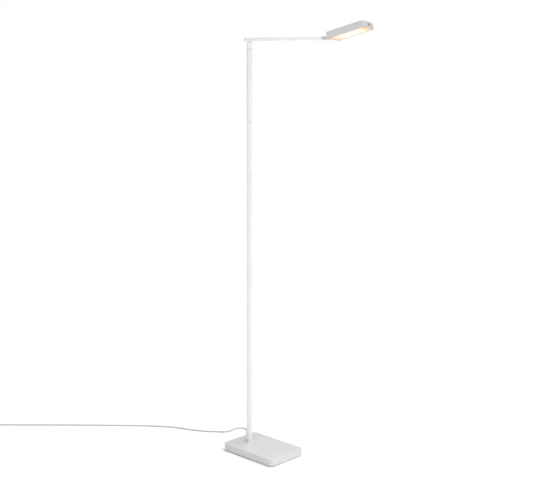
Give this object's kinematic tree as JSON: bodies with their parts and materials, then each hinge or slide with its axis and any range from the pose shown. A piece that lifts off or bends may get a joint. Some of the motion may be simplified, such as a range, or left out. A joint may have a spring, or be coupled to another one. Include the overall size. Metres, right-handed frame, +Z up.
{
  "type": "adjustable arm floor lamp",
  "caption": "Slim white floor lamp: flat rectangular base, thin round pole, swivelling arm and a tilting square head with a lit opal panel and a push button; mains cord with a plug.",
  "frame": {"origin": "middle of the base's underside, on the floor", "axes": "+Z up, +X along the base's long side from the pole's end to the free end, +Y to the left of that"},
  "size_m": [1.4345, 0.8275, 1.5128],
  "materials": {
    "white_paint": "satin white powder coat",
    "tube_paint": "satin white powder coat, a little lighter than the base's",
    "white_aluminium": "aluminium under a satin white powder coat",
    "head_paint": "aluminium under a satin white powder coat",
    "white_plastic": "smooth moulding",
    "black_rubber": "matt, finely textured",
    "black_plastic": "satin moulding",
    "cast_iron": "as cast, black",
    "blackened_steel": "blackened",
    "bright_steel": "zinc plated",
    "bare_aluminium": "rolled sheet",
    "board_white": "white solder mask",
    "opal_diffuser": "opal acrylic, lit",
    "brass": "bright",
    "cord_sheath": "smooth PVC"
  },
  "bodies": {
    "stand": {"anti_slip_pad": "black_rubber", "base_weight": "cast_iron", "base_cover": "white_paint", "cord_strain_relief": "white_plastic", "pole_washer": "bright_steel", "pole_nut": "bright_steel", "pole_foot_plug": "bright_steel", "lower_pole_tube": "tube_paint", "pole_joiner": "bright_steel", "upper_pole_tube": "tube_paint", "swivel_bush": "white_plastic", "swivel_stop_screw": "bright_steel", "pole_wires": "black_plastic", "mains_cord": "cord_sheath", "mains_cord_coil": "cord_sheath", "mains_cord_tail": "cord_sheath", "coil_tie": "black_plastic", "plug_body": "white_plastic", "plug_pin_1": "brass", "plug_pin_2": "brass"},
    "arm": {"swivel_spindle": "bright_steel", "spindle_lower_nut": "bright_steel", "swivel_friction_washer": "bright_steel", "arm_collar": "white_aluminium", "spindle_upper_nut": "bright_steel", "arm_tube": "white_aluminium", "arm_rear_cap": "white_plastic", "arm_end_tongue": "bare_aluminium", "tongue_screw": "bright_steel", "tilt_friction_washer_1": "black_plastic", "tilt_friction_washer_2": "black_plastic", "arm_wires": "black_plastic"},
    "head": {"head_yoke": "head_paint", "tilt_pin": "bright_steel", "tilt_lock_nut": "bright_steel", "yoke_screw_1": "bright_steel", "yoke_screw_2": "bright_steel", "head_housing": "head_paint", "diffuser_panel": "opal_diffuser", "reflector_frame": "white_plastic", "led_board": "board_white", "heat_spreader": "bare_aluminium", "led_driver": "black_plastic", "dimmer_switch": "black_plastic", "head_wires": "black_plastic", "panel_screw_1": "blackened_steel", "panel_screw_2": "blackened_steel", "panel_screw_3": "blackened_steel", "panel_screw_4": "blackened_steel"},
    "button": {"push_button": "black_plastic"}
  },
  "joints": [
    {"name": "arm_swivel", "type": "hinge", "parent": "stand", "child": "arm", "pos_m": [-0.0675, 0, 1.4575], "axis": [0, 0, 1], "range_deg": [-150, 150]},
    {"name": "head_tilt", "type": "hinge", "parent": "arm", "child": "head", "pos_m": [0.18371, 0.12252, 1.4575], "axis": [0.4384, -0.8988, 0], "range_deg": [-92, 58]},
    {"name": "button_press", "type": "slide", "parent": "head", "child": "button", "axis": [-0.8595, -0.4192, -0.2924], "range_m": [0, 0.0012], "stiffness_N_per_m": 600, "springref_m": -0.002}
  ]
}
